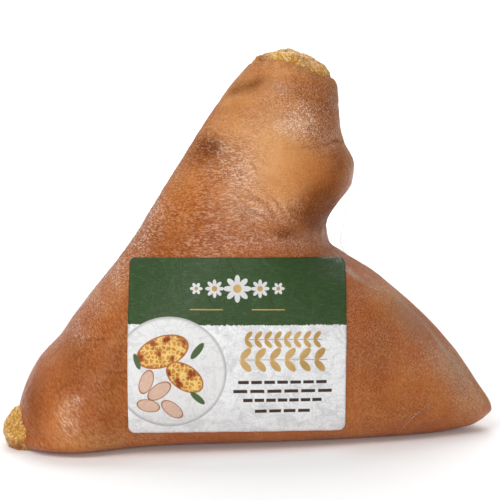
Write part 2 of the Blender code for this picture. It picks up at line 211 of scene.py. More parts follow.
# Blots on the front by what they change: where the skin is dark, partly darker spots of it and partly
# painted shade in hollows, creases and on sides turned from the light; more orange; lighter, as painted
# light; where its grain shines, as painted highlights and sheen; where it is bare of grain or rough with it;
# and where the fat is
# browned or covered by membrane. Each: across and up from the aim in mm as the front view shows it, radii in
# mm, and strength.
BLOTS = {
    # Partly darker spots of the skin, partly painted shade in hollows, creases and on sides turned from the
    # light
    "dark": (
        (-23, 59, 7, 6, 0.7), (-25, 58, 14, 10, 0.45), (-30, 50, 7, 4, 0.3), (44, 30, 13, 16, 0.75),
        (40, 29, 8, 8, 0.4), (42, 18, 10, 8, 0.4), (34, 18, 10, 8, 0.6), (20, 9, 7, 4, 0.7),
        (50, 50, 6, 12, 0.45), (44, 84, 7, 16, 0.35), (25, 92, 14, 5, 0.25), (-3, 93, 10, 4.5, 0.6),
        (8, 98, 9, 4, 0.3), (8, 76, 14, 3, 0.15), (-14, 80, 6, 3, 0.2), (60, -7, 6, 4, 0.3),
        (-124, -88, 6, 20, 0.55), (-104, -78, 9, 7, 0.22), (-100, -62, 8, 14, 0.4),
        (-79, -82, 13, 26, 0.45), (-64, -50, 14, 20, 0.2), (72, -62, 12, 30, 0.25),
        (100, -96, 30, 10, 0.15), (80, -88, 32, 12, 0.1), (-70, -112, 50, 6, 0.1), (124, -86, 8, 12, 0.15),
        (-50, 3, 16, 12, 0.3), (-74, -62, 6, 24, 0.15),
    ),
    "orange": (
        (-19, 40, 9, 12, 0.45), (30, 46, 12, 16, 0.9), (12, 36, 12, 8, 0.5), (62, -4, 7, 5, 0.9),
        (-38, 22, 13, 24, 0.8), (-70, -70, 14, 30, 0.6), (-112, -104, 14, 8, 0.6), (78, -86, 34, 14, 0.5),
        (74, -34, 12, 14, 0.4), (-48, 2, 10, 10, 0.4),
    ),
    # Painted light: the skin is lighter where the light falls brightest
    "light": (
        (18, 58, 18, 26, 0.9), (-8, 66, 18, 18, 0.45), (-24, 36, 14, 14, 0.1), (4, 30, 22, 14, 0.45),
        (-10, 92, 18, 10, 0.45), (26, 104, 18, 6, 0.4), (46, 100, 6, 8, 0.5), (-78, -32, 9, 14, 0.3),
        (-107, -98, 10, 12, 0.7), (-84, -110, 28, 7, 0.75), (62, -7, 8, 4, 0.3), (80, -24, 14, 7, 0.45),
        (114, -62, 16, 14, 0.35), (126, -84, 9, 9, 0.6),
    ),
    # Painted highlights and sheen where the grain catches the light
    "pale": (
        (28, 72, 9, 7, 1.0), (19, 71, 5, 4, 0.7), (30, 80, 8, 4, 0.4), (-5, 42, 9, 14, 0.65),
        (6, 22, 17, 6, 0.6), (-16, 56, 5, 7, 0.6), (14, 5, 28, 4, 0.35), (-54, 24, 5, 11, 0.5),
        (-63, 7, 6, 12, 0.6), (-76, -11, 6, 11, 0.6), (-89, -27, 6, 10, 0.5), (-100, -43, 6, 8, 0.35),
        (-105, -96, 4, 9, 0.4), (-102, -98, 5, 9, 0.35), (46, 62, 6, 5, 0.4), (18, 92, 5, 4, 0.5),
        (112, -58, 14, 12, 0.35), (124, -80, 8, 12, 0.35), (-20, 60, 5, 4, 0.4), (-96, -48, 6, 5, 0.4),
        (-99, -86, 3, 1.8, 0.8),
    ),
    "bare": (
        (17, 52, 11, 12, 1.0), (42, 38, 12, 16, 0.8), (-14, 84, 18, 9, 0.8), (14, 96, 20, 8, 0.6),
        (-110, -76, 14, 14, 0.5),
    ),
    "rough": (
        (39, 82, 12, 18, 1.0), (20, 88, 12, 6, 0.6), (-8, 44, 10, 16, 0.5), (-28, 8, 30, 14, 0.5),
        (60, -40, 30, 30, 0.4),
    ),
    "crust": (
        (7, 109.5, 5, 3.5, 1.0), (20, 115.5, 9, 1.3, 0.7), (28, 110, 3, 1.5, 0.4),
        (-132, -112, 9, 3.5, 0.7), (-126, -96, 3, 6, 0.35), (-131, -103, 14, 10, 0.22),
    ),
    "membrane": (
        (37, 108, 8, 4.5, 1.0), (24, 113, 6, 2.0, 0.5),
    ),
}

# Ridges and creases of the skin and the film on it: points of the front view in mm, half width in mm,
# rise in mm, and tone, above zero where the film shines on it, painted into the skin as a pale sheen, and
# below zero where painted shade darkens the crease
STROKES = (
    (((46, 8), (50, 0), (54, -10), (62, -16), (74, -23)), 1.5, 1.0, 0.75),
    (((45, 12), (54, 2), (66, -7), (76, -16)), 1.0, 0.6, 0.60),
    (((66, -14), (83, -26), (98, -40), (119, -67), (133, -87)), 0.8, 0.4, 0.75),
    (((72, -16), (89, -34), (106, -54), (123, -77), (133, -89)), 8.0, 0.0, 0.30),
    (((-98, -51.0), (-90, -51.6), (-79, -50.6)), 0.55, -0.30, -0.6),
    (((-84, -69.7), (-77, -70.4), (-70, -69.4)), 0.55, -0.30, -0.5),
    (((43, 59.5), (48, 62.4), (56, 61.5)), 0.8, -0.60, -0.8),
    (((20, 58), (34, 59), (43, 59.5)), 1.2, -0.25, -0.25),
    (((-24, 50), (-24.3, 22), (-24, -4)), 0.8, 0.12, 0.16),
    (((-24, 82), (-12, 89), (0, 94), (10, 100)), 2.2, -0.60, -0.40),
)
# Fields of fine wrinkles: their blot, how steeply they run down to the right in degrees, their spacing
# and depth in mm, and how much painted shade darkens them
WRINKLES = (
    ((8, 25, 20, 13, 1.0), 38, 4.4, 0.65, 0.55),
    ((-20, 12, 28, 12, 0.9), 6, 4.2, 0.45, 0.35),
    ((-2, 52, 14, 12, 0.8), 32, 3.8, 0.35, 0.35),
)
# How far the wrinkles wander from straight lines and over what length, in mm, and how far they are drawn out
WRINKLE_BEND = 3.5
WRINKLE_BEND_EVERY = 13.0
WRINKLE_STRETCH = (4.0, 1.0, 1.0)
# A hairline scratch of the film, from its upper to its lower end, and its half width, in mm
SCRATCH = ((104.6, -86.3), (95, -94), (84.6, -104.6))
SCRATCH_HALF_WIDTH = 0.22
SCRATCH_RINGS = 24
SCRATCH_SIDES = 8


def curve_through(points, at):
    """Smooth curve through (place, value) points that never overshoots them."""
    place, value = np.array(points, float).T
    step = np.diff(place)
    slope = np.diff(value) / step
    tangent = np.zeros_like(place)
    for i in range(1, len(place) - 1):
        if slope[i - 1] * slope[i] > 0:
            near, far = 2 * step[i] + step[i - 1], step[i] + 2 * step[i - 1]
            tangent[i] = (near + far) / (near / slope[i - 1] + far / slope[i])
    tangent[0], tangent[-1] = slope[0], slope[-1]
    at = np.clip(at, place[0], place[-1])
    i = np.clip(np.searchsorted(place, at, side="right") - 1, 0, len(step) - 1)
    t = (at - place[i]) / step[i]
    return (
        value[i] * (1 + 2 * t) * (1 - t) ** 2
        + value[i + 1] * t * t * (3 - 2 * t)
        + step[i] * (tangent[i] * t * (1 - t) ** 2 + tangent[i + 1] * t * t * (t - 1))
    )


def smooth_line(shares, places, at):
    """Smooth line through flat places, each reached at its share of the way: its two coordinates."""
    return [curve_through(np.column_stack([shares, column]), at) for column in np.array(places).T]


def smooth_step(value, low, high):
    """0 below low, 1 above high, and a smooth ramp between them."""
    t = np.clip((value - low) / (high - low), 0.0, 1.0)
    return t * t * (3 - 2 * t)


def section(turn, share):
    """Points of the skin at angles turn (0 right, quarter back, half left) and at shares of HEIGHT."""
    c, s = np.cos(turn), np.sin(turn)
    right, back = c >= 0, s >= 0
    square = np.where(
        right,
        np.where(back, curve_through(SQUARE_BACK_RIGHT, share), curve_through(SQUARE_FRONT_RIGHT, share)),
        curve_through(SQUARE_LEFT, share),
    )
    crest = WIDTH * np.where(back, curve_through(BACK_CREST, share), curve_through(FRONT_CREST, share))
    edge = DEPTH * np.where(right, curve_through(RIGHT_EDGE, share), curve_through(LEFT_EDGE, share))
    reach_x = WIDTH * np.where(right, curve_through(RIGHT, share), curve_through(LEFT, share)) - crest
    reach_y = DEPTH * np.where(back, curve_through(BACK, share), curve_through(FRONT, share)) - edge
    x = crest + reach_x * np.abs(c) ** (2 / square)
    y = edge + reach_y * np.abs(s) ** (2 / square)
    return x, y


def rim_share(turn):
    """Height of the skin's rim round the shank, as a share of HEIGHT."""
    tilt = RIM_HEIGHT - RIM_SLOPE_FRONT * np.sin(turn) - RIM_SLOPE_LEFT * np.cos(turn)
    return tilt - RIM_WAVE * np.cos(2 * turn)


def grid_normals(rows):
    """Outward normals of rows of points that run round the ham, lowest row first."""
    along = np.roll(rows, -1, axis=1) - np.roll(rows, 1, axis=1)
    normal = np.cross(along, np.gradient(rows, axis=0))
    return normal / np.maximum(np.linalg.norm(normal, axis=-1, keepdims=True), 1e-12)


def swelling(points, outward):
    """How far the skin stands out at each point, from all the named swellings and hollows."""
    out = np.zeros(points.shape[:-1])
    for _, (across, up), side, radius_x, radius_z, rise in SWELLINGS:
        dx = (points[..., 0] - across * WIDTH) / (radius_x * MM)
        dz = (points[..., 2] - up * HEIGHT) / (radius_z * MM)
        out += rise * MM * np.maximum(0.0, side * outward[..., 1]) * np.exp(-dx * dx - dz * dz)
    return out


def noise_at(points, size, seed, stretch=(1, 1, 1)):
    """Smooth noise between -1 and 1 at each point, with lumps of that size, stretched along the axes."""
    flat = points.reshape(-1, 3) / (size * np.array(stretch)) + seed * np.array((1.0, 2.3, 0.7))
    values = [noise.noise(Vector(p)) for p in flat]
    return np.array(values).reshape(points.shape[:-1])


def ridges_at(points, size, seed, stretch):
    """Sharp-edged noise between 0 and 1 for wrinkles: 1 on the lines and 0 between them."""
    return 1.0 - np.minimum(1.0, 3.0 * np.abs(noise_at(points, size, seed, stretch)))


def lumpy(points, layers, creased=False):
    """Sum of layers of noise at each point, in mm. Creased noise has its hollows folded up to ridges."""
    total = np.zeros(points.shape[:-1])
    for height, size, seed in layers:
        here = noise_at(points, size * MM, seed)
        total += height * (np.abs(here) if creased else here)
    return total


def relief(points):
    """Unevenness of the skin beyond its named swellings: soft lumps, then wrinkles round the hock."""
    lumps = lumpy(points, SKIN_LUMPS)
    height = points[..., 2] / HEIGHT
    hock = smooth_step(height, 0.36, 0.50) * (1 - smooth_step(height, 0.60, 0.72))
    collar = smooth_step(height, 0.70, 0.78) * (1 - smooth_step(height, 0.84, 0.92))
    wrinkles = 0.30 * hock * ridges_at(points, 5 * MM, 3.0, (4.5, 4.5, 1.0))
    folds = 0.35 * collar * ridges_at(points, 7 * MM, 4.0, (3.0, 3.0, 1.0))
    return MM * (lumps - wrinkles - folds)


def skin_grid(around, rows):
    """The skin from the cut face to the rim, as rows of points of shape (rows, around, 3)."""
    turn = np.linspace(0, 2 * math.pi, around, endpoint=False)[None, :].repeat(rows, 0)
    step = np.linspace(0, 1, rows)[:, None]
    level = RIM_HEIGHT * step**1.25
    share = level + (rim_share(turn) - RIM_HEIGHT) * smooth_step(level, RIM_STARTS, RIM_HEIGHT)
    x, y = section(turn, share)
    grid = np.stack([x, y, HEIGHT * share], axis=-1)
    outward = grid_normals(grid)
    flat = outward * (1, 1, 0)
    flat /= np.linalg.norm(flat, axis=-1, keepdims=True)
    outward = np.where(outward[..., 2:] >= 0, outward, flat)
    return grid + outward * swelling(grid, outward)[..., None]


def front_view(points):
    """Where the eye sees each point, across and up from the aim, in mm at the ham's mid depth."""
    c, s = math.cos(EYE_ELEVATION), math.sin(EYE_ELEVATION)
    rise = points[..., 2] - AIM_HEIGHT
    away = EYE_DISTANCE + points[..., 1] * c - rise * s
    scale = EYE_DISTANCE / away / MM
    return points[..., 0] * scale, (rise * c + points[..., 1] * s) * scale


def blots(points, normals, table):
    """Sum of the soft blots of a table at each point of the front, kept between 0 and 1."""
    across, up = front_view(points)
    facing = smooth_step(-normals[..., 1], -0.15, 0.15)
    total = np.zeros(points.shape[:-1])
    for x, z, radius_x, radius_z, strength in table:
        total += strength * np.exp(-(((across - x) / radius_x) ** 2) - ((up - z) / radius_z) ** 2)
    return np.clip(total * facing, 0, 1)


def strokes(points, normals):
    """How strongly each point of the front lies on the ridges and creases: the rise in mm and the tone,
    above zero for the film's sheen and below zero for painted shade.
    """
    across, up = front_view(points)
    facing = smooth_step(-normals[..., 1], 0.02, 0.30)
    rise = np.zeros(points.shape[:-1])
    tone = np.zeros(points.shape[:-1])
    for places, half_width, height, shade in STROKES:
        nearest = np.full(rise.shape, np.inf)
        along = np.zeros(rise.shape)
        for i, (a, b) in enumerate(zip(places, places[1:])):
            run = np.array(b, float) - a
            share = np.clip(((across - a[0]) * run[0] + (up - a[1]) * run[1]) / (run @ run), 0, 1)
            gap = np.hypot(across - a[0] - share * run[0], up - a[1] - share * run[1])
            along = np.where(gap < nearest, (i + share) / (len(places) - 1), along)
            nearest = np.minimum(nearest, gap)
        # A stroke swells and thins along its way, and tapers at both ends
        wave = 0.8 + 0.35 * np.sin(17 * along + places[0][0])
        taper = np.sin(math.pi * (0.04 + 0.92 * along)) ** 0.5
        here = facing * wave * taper * np.exp(-((nearest / half_width) ** 2))
        rise += height * here
        tone += shade * here
    for field, slant, spacing, depth, shade in WRINKLES:
        c, s = math.cos(math.radians(slant)), math.sin(math.radians(slant))
        spots = np.stack([across * c - up * s, across * s + up * c, np.zeros_like(up)], axis=-1)
        spots[..., 1] += WRINKLE_BEND * noise_at(spots, WRINKLE_BEND_EVERY, slant)
        here = blots(points, normals, (field,)) * ridges_at(spots, spacing, slant, WRINKLE_STRETCH)
        rise -= depth * here
        tone -= shade * here
    return rise, tone


def grid_faces(rows, columns, closed=False):
    """Quads between the rows of a grid of points, closed where the rows run round."""
    faces = []
    for low in range(0, (rows - 1) * columns, columns):
        for i in range(columns if closed else columns - 1):
            j = (i + 1) % columns
            faces.append((low + i, low + j, low + columns + j, low + columns + i))
    return faces


def linked(mesh, smooth=True):
    """A new object of the scene that shows the mesh and has its name."""
    mesh.polygons.foreach_set("use_smooth", [smooth] * len(mesh.polygons))
    obj = bpy.data.objects.new(mesh.name, mesh)
    bpy.context.scene.collection.objects.link(obj)
    return obj


def mesh_object(name, points, faces, smooth=True):
    mesh = bpy.data.meshes.new(name)
    mesh.from_pydata([tuple(p) for p in points], [], faces)
    mesh.update()
    return linked(mesh, smooth)


def add_attribute(obj, name, values):
    layer = obj.data.attributes.new(name, "FLOAT", "POINT")
    layer.data.foreach_set("value", np.asarray(values, dtype=np.float32).ravel())


def settle(piece, node):
    """Rides the piece on the ham's body and hides the CAD node that it stands for."""
    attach(piece, "root")
    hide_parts(node)


def surface_of(*objects):
    """One search tree over the finished meshes of the objects."""
    points, faces = [], []
    for obj in objects:
        start = len(points)
        points += [v.co.copy() for v in obj.data.vertices]
        faces += [[start + k for k in p.vertices] for p in obj.data.polygons]
    return BVHTree.FromPolygons(points, faces)


def seen_point(tree, across, up):
    """The point of a surface that the eye sees at a place of the front view, and its outward normal."""
    c, s = math.cos(EYE_ELEVATION), math.sin(EYE_ELEVATION)
    eye = Vector((0, -EYE_DISTANCE * c, AIM_HEIGHT + EYE_DISTANCE * s))
    place = Vector((across * MM, up * MM * s, AIM_HEIGHT + up * MM * c))
    hit, normal, _, _ = tree.ray_cast(eye, (place - eye).normalized())
    return hit, normal


class Term:
    """A value in a node tree, so that sums and products of sockets read as formulas."""

    def __init__(self, shading, socket):
        self.shading = shading
        self.socket = socket

    def __add__(self, other):
        return self.shading.math("ADD", self, other)

    def __radd__(self, other):
        return self.shading.math("ADD", other, self)

    def __sub__(self, other):
        return self.shading.math("SUBTRACT", self, other)

    def __rsub__(self, other):
        return self.shading.math("SUBTRACT", other, self)

    def __mul__(self, other):
        return self.shading.math("MULTIPLY", self, other)

    def __truediv__(self, other):
        return self.shading.math("DIVIDE", self, other)

    def __rtruediv__(self, other):
        return self.shading.math("DIVIDE", other, self)

    def __pow__(self, other):
        return self.shading.math("POWER", self, other)

    def __abs__(self):
        return self.shading.math("ABSOLUTE", self)

    def clamped(self):
        """The same sum or product, kept between 0 and 1."""
        self.socket.node.use_clamp = True
        return self


class Shading:
    """Adds nodes to one node tree and joins them. Its values come back as terms of formulas."""

    def __init__(self, tree):
        self.tree = tree

    def node(self, kind, **settings):
        made = self.tree.nodes.new(kind)
        for key, value in settings.items():
            setattr(made, key, value)
        return made

    def put(self, socket, value):
        if isinstance(value, Term):
            value = value.socket
        if isinstance(value, bpy.types.NodeSocket):
            self.tree.links.new(value, socket)
        elif socket.type == "RGBA" and len(value) == 3:
            socket.default_value = (*value, 1.0)
        else:
            socket.default_value = value

    def fill(self, made, names, values):
        """Puts the values into a node's inputs of those names or numbers."""
        for name, value in zip(names, values):
            self.put(made.inputs[name], value)

    def math(self, operation, a, b=0.0, c=0.0):
        made = self.node("ShaderNodeMath", operation=operation)
        self.fill(made, (0, 1, 2), (a, b, c))
        return Term(self, made.outputs[0])

    def ramp(self, value, low, high, start=0.0, end=1.0):
        """A smooth ramp from start at low to end at high, level beyond both."""
        made = self.node("ShaderNodeMapRange", interpolation_type="SMOOTHSTEP")
        names = ("Value", "From Min", "From Max", "To Min", "To Max")
        self.fill(made, names, (value, low, high, start, end))
        return Term(self, made.outputs["Result"])

    def blend(self, factor, a, b, mode="MIX"):
        made = self.node("ShaderNodeMix", data_type="RGBA", blend_type=mode)
        self.fill(made, ("Factor", 6, 7), (factor, a, b))
        return made.outputs[2]

    def mix(self, factor, a, b):
        made = self.node("ShaderNodeMix", data_type="FLOAT")
        self.fill(made, (0, 2, 3), (factor, a, b))
        return Term(self, made.outputs[0])

    def noise(self, vector, scale, detail=2.0, roughness=0.5, distortion=0.0):
        made = self.node("ShaderNodeTexNoise")
        names = ("Vector", "Scale", "Detail", "Roughness", "Distortion")
        self.fill(made, names, (vector, scale, detail, roughness, distortion))
        return Term(self, made.outputs["Fac"])

    def cells(self, vector, scale, feature="F1", randomness=1.0):
        made = self.node("ShaderNodeTexVoronoi", feature=feature)
        self.fill(made, ("Vector", "Scale", "Randomness"), (vector, scale, randomness))
        return Term(self, made.outputs["Distance"])

    def stretched(self, vector, scale):
        made = self.node("ShaderNodeMapping")
        self.fill(made, ("Vector", "Scale"), (vector, scale))
        return made.outputs["Vector"]

    def drawn_out(self, vector, lengths, turn):
        """Coordinates in which a texture is turned and drawn out by the lengths along its own axes."""
        made = self.node("ShaderNodeMapping", vector_type="TEXTURE")
        self.fill(made, ("Vector", "Rotation", "Scale"), (vector, turn, lengths))
        return made.outputs["Vector"]

    def split(self, vector):
        """The three coordinates of a vector."""
        made = self.node("ShaderNodeSeparateXYZ")
        self.put(made.inputs[0], vector)
        return [Term(self, output) for output in made.outputs]

    def bump(self, height, distance, strength, normal=None):
        made = self.node("ShaderNodeBump")
        self.fill(made, ("Height", "Distance", "Strength"), (height, distance, strength))
        if normal is not None:
            self.put(made.inputs["Normal"], normal)
        return made.outputs["Normal"]

    def attribute(self, name):
        return Term(self, self.node("ShaderNodeAttribute", attribute_name=name).outputs["Fac"])

    def place(self):
        return self.node("ShaderNodeTexCoord").outputs["Object"]

    def group(self, tree, **inputs):
        """The named outputs of a shader node group, as terms. Its input names have _ for a space."""
        made = self.node("ShaderNodeGroup", node_tree=tree)
        for name, value in inputs.items():
            self.put(made.inputs[name.replace("_", " ")], value)
        return {output.name: Term(self, output) for output in made.outputs}


def new_group(name, inputs, outputs):
    """An empty shader node group with its named sockets, values but for the vector Place."""
    tree = bpy.data.node_groups.new(name, "ShaderNodeTree")
    for way, sockets in (("INPUT", inputs), ("OUTPUT", outputs)):
        for label in sockets:
            kind = "NodeSocketVector" if label == "Place" else "NodeSocketFloat"
            tree.interface.new_socket(label, in_out=way, socket_type=kind)
    s = Shading(tree)
    start = {socket.name: Term(s, socket) for socket in s.node("NodeGroupInput").outputs}
    end = s.node("NodeGroupOutput").inputs
    return tree, s, start, end


def once(name, build):
    """The node group of that name, built only the first time that it is asked for."""
    return bpy.data.node_groups.get(name) or build(name)


def build_mottle(name):
    """Uneven tone: two sizes of soft cloud, centred on zero."""
    tree, s, start, end = new_group(name, ("Place", "Cloud Size", "Strength"), ("Tone",))
    broad = s.noise(start["Place"], 1.0 / start["Cloud Size"], 3.0, 0.55)
    fine = s.noise(start["Place"], 5.0 / start["Cloud Size"], 3.0, 0.6)
    both = broad * 1.3 + fine * 0.7
    s.put(end["Tone"], (both - 1.0) * start["Strength"])
    return tree


def build_grain(name):
    """Fine grain of short worn wrinkles: its height, the specks on its crowns and its furrows."""
    tree, s, start, end = new_group(name, ("Place", "Grain Size"), ("Height", "Speck", "Furrow"))
    scale = 1.0 / start["Grain Size"]
    coarse = s.noise(start["Place"], scale * 0.6, 2.0, 0.6, 0.3)
    fine = s.noise(start["Place"], scale * 1.2, 1.0, 0.5)
    height = coarse * 0.55 + fine * 0.45
    s.put(end["Height"], height)
    s.put(end["Speck"], s.ramp(height, 0.525, 0.60))
    s.put(end["Furrow"], s.ramp(height, 0.505, 0.42))
    return tree


def build_slanted_grain(name):
    """The worn grain drawn out into wrinkles on the left: level ones, and lower down slanting ones."""
    tree, s, start, end = new_group(name, ("Place", "Grain Size"), ("Height", "Speck", "Furrow"))
    place, size = start["Place"], start["Grain Size"]
    grain = once("worn_grain", build_grain)
    even = s.group(grain, Place=place, Grain_Size=size)
    level = s.group(grain, Place=s.drawn_out(place, GRAIN_STREAK, (0.0, 0.0, 0.0)), Grain_Size=size)
    slant = s.drawn_out(place, GRAIN_STREAK, (0.0, GRAIN_SLANT, 0.0))
    slanted = s.group(grain, Place=slant, Grain_Size=size)
    across, _, up = s.split(place)
    left = s.ramp(across, 0.03, -0.03, 0.15, 0.85)
    low = s.ramp(up, 0.105, 0.070)
    for label in ("Height", "Speck", "Furrow"):
        streaked = s.mix(low, level[label], slanted[label])
        s.put(end[label], s.mix(left, even[label], streaked))
    return tree


def build_crinkle(name):
    """Sharp soft-cornered creases, as in thin paper or film that was drawn tight and let go."""
    tree, s, start, end = new_group(name, ("Place", "Crease Size"), ("Height", "Line"))
    scale = 1.0 / start["Crease Size"]
    bend = s.noise(start["Place"], scale * 0.6, 3.0, 0.6, 0.6)
    fold = abs(bend - 0.5)
    fine = s.noise(start["Place"], scale * 1.9, 4.0, 0.6, 0.9)
    small = abs(fine - 0.5)
    both = fold * 2.4 + small * 1.2
    s.put(end["Height"], both)
    s.put(end["Line"], s.ramp(fold, 0.0, 0.035, 1.0, 0.0))
    return tree


def build_bar(name):
    """Mask of an upright box in flat coordinates."""
    inputs = ("X", "Y", "Centre X", "Centre Y", "Half Width", "Half Height")
    tree, s, start, end = new_group(name, inputs, ("Mask",))
    gap_x = abs(start["X"] - start["Centre X"]) - start["Half Width"]
    gap_y = abs(start["Y"] - start["Centre Y"]) - start["Half Height"]
    s.put(end["Mask"], s.ramp(s.math("MAXIMUM", gap_x, gap_y), -0.1, 0.1, 1.0, 0.0))
    return tree


def build_oval(name):
    """Mask of a turned oval, and how far out each spot lies, 1 on its edge, and its angle."""
    inputs = ("X", "Y", "Centre X", "Centre Y", "Radius X", "Radius Y", "Turn")
    tree, s, start, end = new_group(name, inputs, ("Mask", "Distance", "Angle"))
    dx, dy = start["X"] - start["Centre X"], start["Y"] - start["Centre Y"]
    cosine, sine = s.math("COSINE", start["Turn"]), s.math("SINE", start["Turn"])
    along = dx * cosine + dy * sine
    aside = dy * cosine - dx * sine
    u, v = along / start["Radius X"], aside / start["Radius Y"]
    out = s.math("SQRT", u * u + v * v)
    soft = 0.12 / start["Radius Y"]
    s.put(end["Mask"], s.ramp(out, 1.0 - soft, 1.0 + soft, 1.0, 0.0))
    s.put(end["Distance"], out)
    s.put(end["Angle"], s.math("ARCTAN2", aside, along))
    return tree


def new_material(name, roughness, **constants):
    """A material, the helper that adds nodes to it, and the inputs of its Principled shader."""
    made = bpy.data.materials.new(name)
    made.use_nodes = True
    shader = made.node_tree.nodes["Principled BSDF"]
    shader.inputs["Roughness"].default_value = roughness
    for key, value in constants.items():
        shader.inputs[key.replace("_", " ")].default_value = value
    return made, Shading(made.node_tree), shader.inputs


class HamSettings(bpy.types.PropertyGroup):
    # This colour paints the skin's darker spots, and painted shade in its hollows, creases and on sides
    # turned from the light
    skin_stain_and_shade: FloatVectorProperty(
        name="Skin in hollows", description="Colour of the skin where smoke and juice settle",
        subtype="COLOR", size=3, min=0, max=1, default=(0.150, 0.036, 0.008),
    )
    skin_amber: FloatVectorProperty(
        name="Skin", description="Colour of the skin over the butt",
        subtype="COLOR", size=3, min=0, max=1, default=(0.420, 0.109, 0.014),
    )
    skin_pale: FloatVectorProperty(
        name="Skin on the shank", description="Colour of the skin over the shank",
        subtype="COLOR", size=3, min=0, max=1, default=(0.670, 0.310, 0.100),
    )
    fat_colour: FloatVectorProperty(
        name="Fat", description="Colour of the cut and rendered fat",
        subtype="COLOR", size=3, min=0, max=1, default=(0.760, 0.440, 0.090),
    )
    grain: FloatProperty(
        name="Skin grain", description="Size of the skin's grain",
        unit="LENGTH", min=0.0002, max=0.01, default=0.00065,
    )
    around: IntProperty(name="Faces round", description="Faces round the skin", min=60, max=800, default=520)
    rows: IntProperty(
        name="Faces up", description="Faces from the cut face to the rim", min=40, max=500, default=310,
    )


class BagSettings(bpy.types.PropertyGroup):
    gap: FloatProperty(
        name="Film gap", description="Least distance from the meat to the film",
        unit="LENGTH", min=0.0001, max=0.003, default=0.0003,
    )
    voxel: FloatProperty(
        name="Film detail", description="Face size of the film",
        unit="LENGTH", min=0.001, max=0.01, default=0.0015,
    )


class LabelSettings(bpy.types.PropertyGroup):
    band_colour: FloatVectorProperty(
        name="Band", description="Colour of the printed band",
        subtype="COLOR", size=3, min=0, max=1, default=(0.030, 0.068, 0.016),
    )
    paper_colour: FloatVectorProperty(
        name="Paper", description="Colour of the silvery paper",
        subtype="COLOR", size=3, min=0, max=1, default=(0.930, 0.930, 0.940),
    )
    gold_colour: FloatVectorProperty(
        name="Gold", description="Colour of the gold ornament",
        subtype="COLOR", size=3, min=0, max=1, default=(0.480, 0.290, 0.085),
    )
    thickness: FloatProperty(
        name="Thickness", description="Thickness of the label's paper",
        unit="LENGTH", min=0.0001, max=0.001, default=0.00025,
    )


class StageSettings(bpy.types.PropertyGroup):
    floor_colour: FloatVectorProperty(
        name="Floor", description="Colour of the floor",
        subtype="COLOR", size=3, min=0, max=1, default=(0.94, 0.94, 0.94),
    )
    key_power: FloatProperty(
        name="Key light", description="Power of the main light", min=0, default=13.0,
    )
    fill_power: FloatProperty(
        name="Fill light", description="Power of the light in front", min=0, default=3.0,
    )
    ground_power: FloatProperty(
        name="Ground light", description="Power of the light on the floor behind", min=0, default=60.0,
    )
    sky: FloatProperty(
        name="Surroundings", description="Brightness of the surroundings", min=0, default=0.35,
    )


